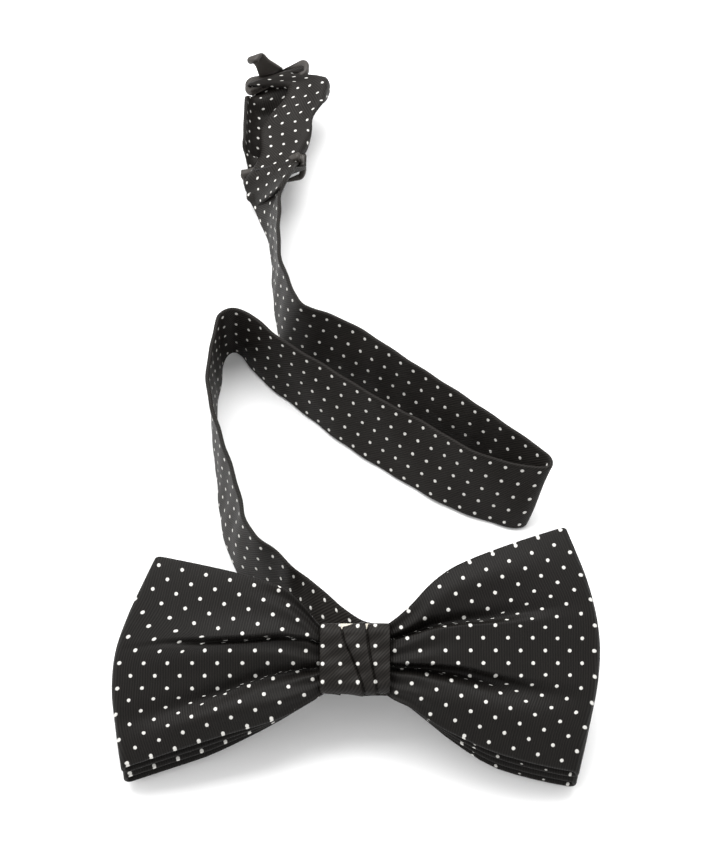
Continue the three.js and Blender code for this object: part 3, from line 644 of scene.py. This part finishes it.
def smooth_path(points, per_span):
    """Catmull-Rom curve through the points, with per_span places on each span."""
    p = np.vstack([2 * points[0] - points[1], points, 2 * points[-1] - points[-2]])
    u = (np.arange(per_span) / per_span)[None, :, None]
    a, b, c, d = (p[i:len(p) - 3 + i, None] for i in range(4))
    curve = 0.5 * (2 * b + (c - a) * u + (2 * a - 5 * b + 4 * c - d) * u**2 + (3 * b - a - 3 * c + d) * u**3)
    return np.vstack([curve.reshape(-1, points.shape[1]), points[-1:]])


def flap_point(g, y):
    """Upper layer of the doubled end, lying loose. g runs across its cloth from a rolled left edge; past
    the right outline at this y, the rest of the width turns down."""
    left = through([(155, -27.4), (160, -28), (164, -28.8), (170, -28.4), (176, -28.9), (181, -28.9),
                    (185, -26.4), (190, -22.2), (198, -20.2), (203, -20)], y)
    right = through([(155, -20.5), (159, -19.1), (164.5, -17.4), (172.5, -13.9), (181.5, -10.8), (186, -9.6),
                     (191.5, -8.8), (194.5, -8.2), (197.5, -8.6), (200, -11.2), (203, -15)], y)
    radius = 1.05
    angle = ((math.pi * radius - g) / radius).clip(0)
    rest = (g - math.pi * radius).clip(0)
    spare = (rest - (right - left - radius) / 0.93) / 1.1
    down = 1.1 * np.log1p(np.exp(spare.clip(-30, 30)))
    x = left + radius * (1 - np.sin(angle)) + 0.93 * (rest - down)
    z = (8.1 + 0.27 * (x + 34.4) - radius * (1 - np.cos(angle)) - 0.95 * down
         + 0.35 * np.sin(0.33 * y + 0.5 * g) * ease(y, 168, 176))
    roll = np.radians(through([(146, 75), (151.5, 62), (156, 46.4), (159.5, 35), (163, 25), (170, 24.4)], y))
    edge_x = through([(146, -27), (151.5, -29.2), (156, -31.4), (160, -32.4), (165, -32.5)], y)
    edge_z = through([(146, 0.6), (151.5, 1.8), (156, 3), (160, 3.6), (165, 3.6)], y)
    high = 1.7 + 3 * ease(y, 156, 164)
    free = ease(y, 157, 171)
    x = x * free + (edge_x + g * np.cos(roll) - high * np.sin(roll)) * (1 - free)
    z = z * free + (edge_z + g * np.sin(roll) + high * np.cos(roll)) * (1 - free)
    return np.stack(np.broadcast_arrays(x, y + (1 - ease(y, 150, 164)) * (4.6 - 0.42 * g), z), axis=-1)


def strap_sheet(columns):
    """Middle surface of the strap: a straight line across it at each place of its route, from the lower
    edge to the upper one; then the doubled end, whose under layer curls up along its left side and whose
    upper layer lies over it like a flap."""
    to_route = np.array([0, KNOT_Y, TABLE])
    upper = from_bow(BEHIND[:, 2], BEHIND[:, 3], BEHIND[:, 4]) - to_route
    reach = ((BEHIND[:, 2:4] - BEHIND[:, :2]) ** 2).sum(axis=1)
    fallen = BEHIND[:, 4] - np.sqrt((STRAP**2 - reach).clip(0)) * ease(-BEHIND[:, 0], 0, 9)
    lower_edge = from_bow(BEHIND[:, 0], BEHIND[:, 1], fallen) - to_route
    lean = ROUTE[:, 3:] * STRAP
    rise = np.sqrt(STRAP**2 - (lean**2).sum(axis=1))
    rows = smooth_path(np.vstack([np.column_stack([lower_edge, upper - lower_edge]),
                                  np.column_stack([ROUTE[:, :3], lean, rise])]), 6)
    lower, lean = rows[:, :3], rows[:, 3:]
    across = np.linspace(0, 1, columns)
    run = lower[:, None] + lean[:, None] * across[None, :, None]

    # The doubled end. place is y on the table; layer 0 is under and 1 is the flap.
    turn = np.radians(np.linspace(-80, 80, 9))
    share = np.linspace(0, 1, 56)[1:]
    place = np.concatenate([156 + (BAR_Y - 156) * share, BAR_Y + TURN_RADIUS * np.cos(turn),
                            150 + (BAR_Y - 150) * share[::-1], [150.0]])
    high = np.concatenate([0 * share, TURN_RADIUS * (1 + np.sin(turn)), 0 * share + 2 * TURN_RADIUS,
                           [2 * TURN_RADIUS]])
    layer = high / (2 * TURN_RADIUS)
    roll = np.radians(24.4 + 22 * (1 - ease(place, 155, 163)) * (1 - layer))[:, None]
    g = across[None, :] * STRAP
    corner = np.array([EDGE_X, 0, LIFT]) + ABOVE * high[:, None]
    flat = np.stack([corner[:, :1] + g * np.cos(roll), place[:, None] + 0 * g,
                     corner[:, 2:] + g * np.sin(roll)], axis=-1)
    loose = (ease(place, 167, 174) * (1 - ease(place, 192, 199.5)))[:, None, None]
    under = np.stack(np.broadcast_arrays(
        through([(0, -34.2), (4, -33.9), (8, -31.8), (11, -28.9), (15, -25.1), (19, -21.2)], g),
        place[:, None],
        through([(0, 10.4), (4, 6.6), (8, 3.2), (11, 1.6), (15, 2.0), (19, 3.6)], g)), axis=-1)
    lower = flat * (1 - loose) + under * loose
    held = ease(place, 196.5, 201.5)[:, None, None]
    flap = flap_point(g, place[:, None]) * (1 - held) + flat * held
    end = lower * (1 - layer)[:, None, None] + flap * layer[:, None, None]
    whole = np.concatenate([run, end])
    return on_table(whole)


def strap_cloth(sheet):
    """Place in the strap's cloth: along its middle line, and across from one edge to the other."""
    middle = sheet[:, sheet.shape[1] // 2]
    run = np.concatenate([[0], np.cumsum(np.linalg.norm(np.diff(middle, axis=0), axis=1))])
    across = np.linspace(-0.5, 0.5, sheet.shape[1]) * STRAP
    return np.stack(np.broadcast_arrays(run[:, None], across[None, :]), axis=-1), run


band_sheet = strap_sheet(33)
band_cloth, band_run = strap_cloth(band_sheet)
outward = facing(band_sheet)
ripple = (0.22 * np.sin(band_cloth[..., 0] * 0.21 + 0.3 * band_cloth[..., 1])
          + 0.14 * np.sin(band_cloth[..., 0] * 0.57 - 0.2 * band_cloth[..., 1]))
calm = ease(band_run, 14, 30) * (1 - ease(band_run, band_run[-1] - 105, band_run[-1] - 85))
band_sheet = band_sheet + outward * (ripple * calm[:, None])[..., None]
strap = cloth_body("neck_strap", band_sheet, band_cloth, STRAP_THICK, bias_cloth)
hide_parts("neckband_cloth")
strap_core = cloth_body("neck_strap_canvas", band_sheet[:, 2:-2:2], band_cloth[:, 2:-2:2], CANVAS_PLY,
                         canvas_weave, turns=2)
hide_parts("neckband_canvas")


# ---------------------------------------------------------------- slider, hook, eye and tacks
def hardware(points, y, high):
    """Adjuster frame to the table's frame: X across the doubled strap, Y along it, Z out of its face."""
    p = np.asarray(points, float)
    origin = np.array([EDGE_X, y, LIFT]) + ABOVE * high
    return on_table(origin + p[..., :1] * LEAN + p[..., 1:2] * np.array([0, 1.0, 0]) + p[..., 2:] * ABOVE)


def rounded_loop(x0, x1, y0, y1, corner, count=12):
    """A rounded rectangle as a closed line, counterclockwise."""
    a = np.linspace(0, math.pi / 2, count)
    c, s = corner * np.cos(a), corner * np.sin(a)
    return np.vstack([np.stack([x1 - corner + c, y1 - corner + s], 1),
                      np.stack([x0 + corner - s, y1 - corner + c], 1),
                      np.stack([x0 + corner - c, y0 + corner - s], 1),
                      np.stack([x1 - corner + s, y0 + corner - c], 1)])


loop = rounded_loop(SLIDER_LEFT, SLIDER_RIGHT, -SLIDER_HALF, SLIDER_HALF, 2.2)
dip = -2.05 + 2.6 * (1 - (loop[:, 1] / SLIDER_HALF) ** 2)
ring = rod("slider_frame", hardware(np.column_stack([loop, dip]), SLIDER_Y, 0), (0.95, 0.85), enamel,
           "slider", closed=True, across=tuple(LEAN), power=3.0)
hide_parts("slider")
ends = np.linspace(SLIDER_LEFT, SLIDER_RIGHT, 30)
lift = TURN_RADIUS + 0 * ends
swell = 1.0 + 0.35 * (np.abs(ends - 8.7) / 9.8) ** 6
bar = rod("slider_bar", hardware(np.column_stack([ends, 0 * ends, lift]), SLIDER_Y, 0),
          np.column_stack([1.15 * swell, 1.05 * swell]), enamel, "slider", across=(0, 1, 0), power=2.5)
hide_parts("slider")
for number, x in enumerate((SLIDER_LEFT, SLIDER_RIGHT)):
    rise = np.linspace(0, 1, 14)
    post = np.column_stack([0 * rise + x, 0 * rise, -0.2 + (TURN_RADIUS + 0.3) * rise])
    cheek = rod("slider_cheek_%d" % (number + 1), hardware(post, SLIDER_Y, 0),
                np.column_stack([0 * rise + 0.8, 1.9 - 0.8 * rise]), enamel, "slider",
                across=tuple(LEAN), power=3.5)
    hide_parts("slider")

loop = rounded_loop(-0.6, 19.6, 0.0, 4.6, 1.4)
thick = 1.15 + 0.25 * ease(loop[:, 1], 2.5, 4.6)
hook_frame = rod("hook_frame", hardware(np.column_stack([loop, 0 * loop[:, 0]]), BAR_Y, TURN_RADIUS),
                 np.column_stack([thick, 0 * thick + 1.05]), enamel, "hook", closed=True,
                 across=tuple(LEAN), power=3.2)
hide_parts("hook")
bend = np.radians(np.linspace(0, 90, 10))
climb = np.column_stack([np.full(8, 5.2), np.linspace(0, 7.6, 8)])
curl = np.column_stack([5.2 - 1.4 + 1.4 * np.cos(bend), 7.7 + 1.4 * np.sin(bend)])
tip = np.column_stack([np.linspace(3.5, 2.7, 3), np.full(3, 9.1)])
tongue = np.vstack([climb, curl, tip])
taper = np.interp(np.arange(len(tongue)), [0, 5, len(tongue) - 3, len(tongue) - 1], [4.4, 2.6, 2.1, 1.7])
across_hook = np.linspace(7.4, 5.4, len(tongue))
hook_tongue = rod("hook_tongue", hardware(np.column_stack([across_hook, tongue]), BAR_Y, TURN_RADIUS),
                  np.column_stack([taper, np.full(len(taper), 0.85)]), enamel, "hook",
                  across=tuple(LEAN), power=3.5)
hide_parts("hook")

a = np.linspace(-math.pi / 2, math.pi / 2, 24)
straight = np.linspace(0, 3.9, 8)[:-1]
near = np.linspace(-5.2, 5.2, 14)[::-1]
eye_line = np.vstack([np.column_stack([10.1 + straight, 0 * straight - 5.2]),
                      np.column_stack([14 + 4.6 * np.cos(a), 5.2 * np.sin(a)]),
                      np.column_stack([10.1 + straight[::-1], 0 * straight + 5.2]),
                      np.column_stack([0 * near[1:-1] + 10.1, near[1:-1]])])
catch_eye = rod("catch_eye", from_bow(eye_line[:, 0], eye_line[:, 1], np.full(len(eye_line), -8.25)),
                (0.75, 0.75), black_thread, "bow_and_band", closed=True,
                across=(0, -0.3746, 0.9272), sides=12)
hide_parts("catch_loop")


def zigzag(name, start, end, sideways, stitches, node, out, thick=0.2):
    """A row of tight satin stitches: one thread going to and fro between two lines."""
    start, end, sideways, out = (np.asarray(v, float) for v in (start, end, sideways, out))
    i = np.linspace(0, 1, stitches * 12)
    swing = np.sin(i * stitches * 2 * math.pi)
    wave = np.cos(i * stitches * 2 * math.pi) ** 2
    path = start + (end - start) * i[:, None] + sideways * swing[:, None] + out * (wave * 0.14)[:, None]
    made = rod(name, path, (thick, thick), black_thread, "bow_and_band", across=tuple(out), sides=8)
    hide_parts(node)


zigzag("band_tack", from_bow(3.2, 8.3, -8.9), from_bow(7.2, 8.2, -8.9),
       from_bow(0, 0, 0.6) - from_bow(0, 0, 0), 12, "band_end_tack",
       from_bow(0, 1, 0) - from_bow(0, 0, 0), 0.14)
tack_ends = on_table(flap_point(np.array([3.0, 15.0]), np.array([162.5, 162.5])))
zigzag("tail_stitches", tack_ends[0] + ABOVE * 0.62, tack_ends[1] + ABOVE * 0.62, (0, 0.4, 0), 16,
       "tail_tack", ABOVE, 0.1)

# ---------------------------------------------------------------- table and light
floor_recipe = Recipe("pale table")
speckle = floor_recipe.noise(floor_recipe.node("ShaderNodeTexCoord", {}, {}, 3), 40.0, 2.0)
floor_colour = floor_recipe.mix(speckle, rgb(0.93, 0.93, 0.93), rgb(0.96, 0.96, 0.96))
pale = floor_recipe.finish(Base_Color=floor_colour, Roughness=0.9, Specular_IOR_Level=0.1)
table = bpy.data.meshes.new("table")
table.from_pydata([(-3, -3, -0.0004), (3, -3, -0.0004), (3, 3, -0.0004), (-3, 3, -0.0004)], [],
                  [(0, 1, 2, 3)])
table.materials.append(pale)
table_top = bpy.data.objects.new("table", table)
bpy.context.scene.collection.objects.link(table_top)


def soft_light(name, place, target, size, watts):
    """A rectangular lamp at a place, turned to face its target."""
    light = bpy.data.lights.new(name, "AREA")
    light.shape, light.size, light.size_y, light.energy = "RECTANGLE", size[0], size[1], watts
    made = bpy.data.objects.new(name, light)
    made.location = place
    made.rotation_euler = (Vector(target) - Vector(place)).to_track_quat("-Z", "Y").to_euler()
    bpy.context.scene.collection.objects.link(made)


soft_light("overhead", (-0.1, 0.45, 0.85), (0, -0.05, 0), (1.2, 0.6), 15)
soft_light("left", (-0.8, -0.1, 0.5), (0, 0, 0), (0.5, 0.5), 2)
soft_light("right", (0.8, 0.1, 0.5), (0, 0, 0), (0.5, 0.5), 1.5)
world = bpy.data.worlds.new("studio")
world.use_nodes = True
world.node_tree.nodes["Background"].inputs["Color"].default_value = rgb(1, 1, 1)
world.node_tree.nodes["Background"].inputs["Strength"].default_value = 0.85
bpy.context.scene.world = world
bpy.context.scene.view_settings.view_transform = "Standard"
